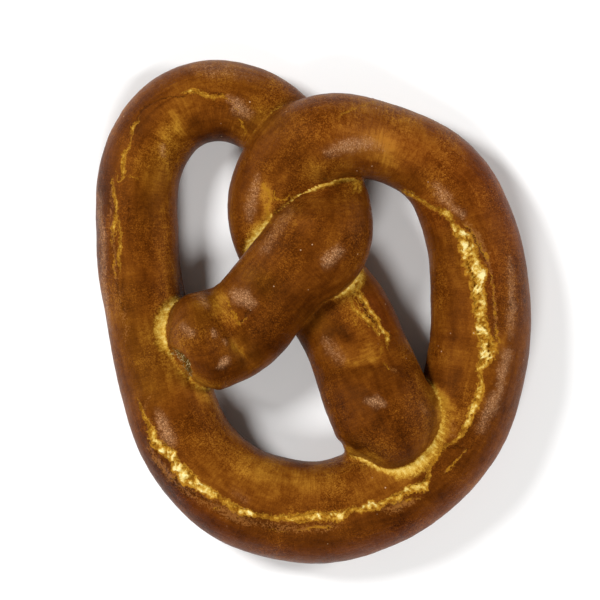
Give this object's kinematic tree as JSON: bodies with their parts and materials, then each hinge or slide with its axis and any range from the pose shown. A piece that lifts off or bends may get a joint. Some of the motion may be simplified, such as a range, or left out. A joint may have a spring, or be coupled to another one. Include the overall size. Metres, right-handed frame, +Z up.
{
  "type": "soft pretzel",
  "caption": "Baked soft pretzel: one twisted rope of brown-crusted dough with three openings, a burst crust line and both ends pressed onto the loop.",
  "frame": {"origin": "middle of the pretzel's outline, on the tray it rests on", "axes": "+Z up from the tray, +Y from the bottom of the big loop towards the twist, +X to the side of the larger end knob"},
  "size_m": [0.1294, 0.1496, 0.0332],
  "materials": {
    "crust": "satin"
  },
  "bodies": {
    "root": {"pretzel": "crust"}
  },
  "joints": []
}
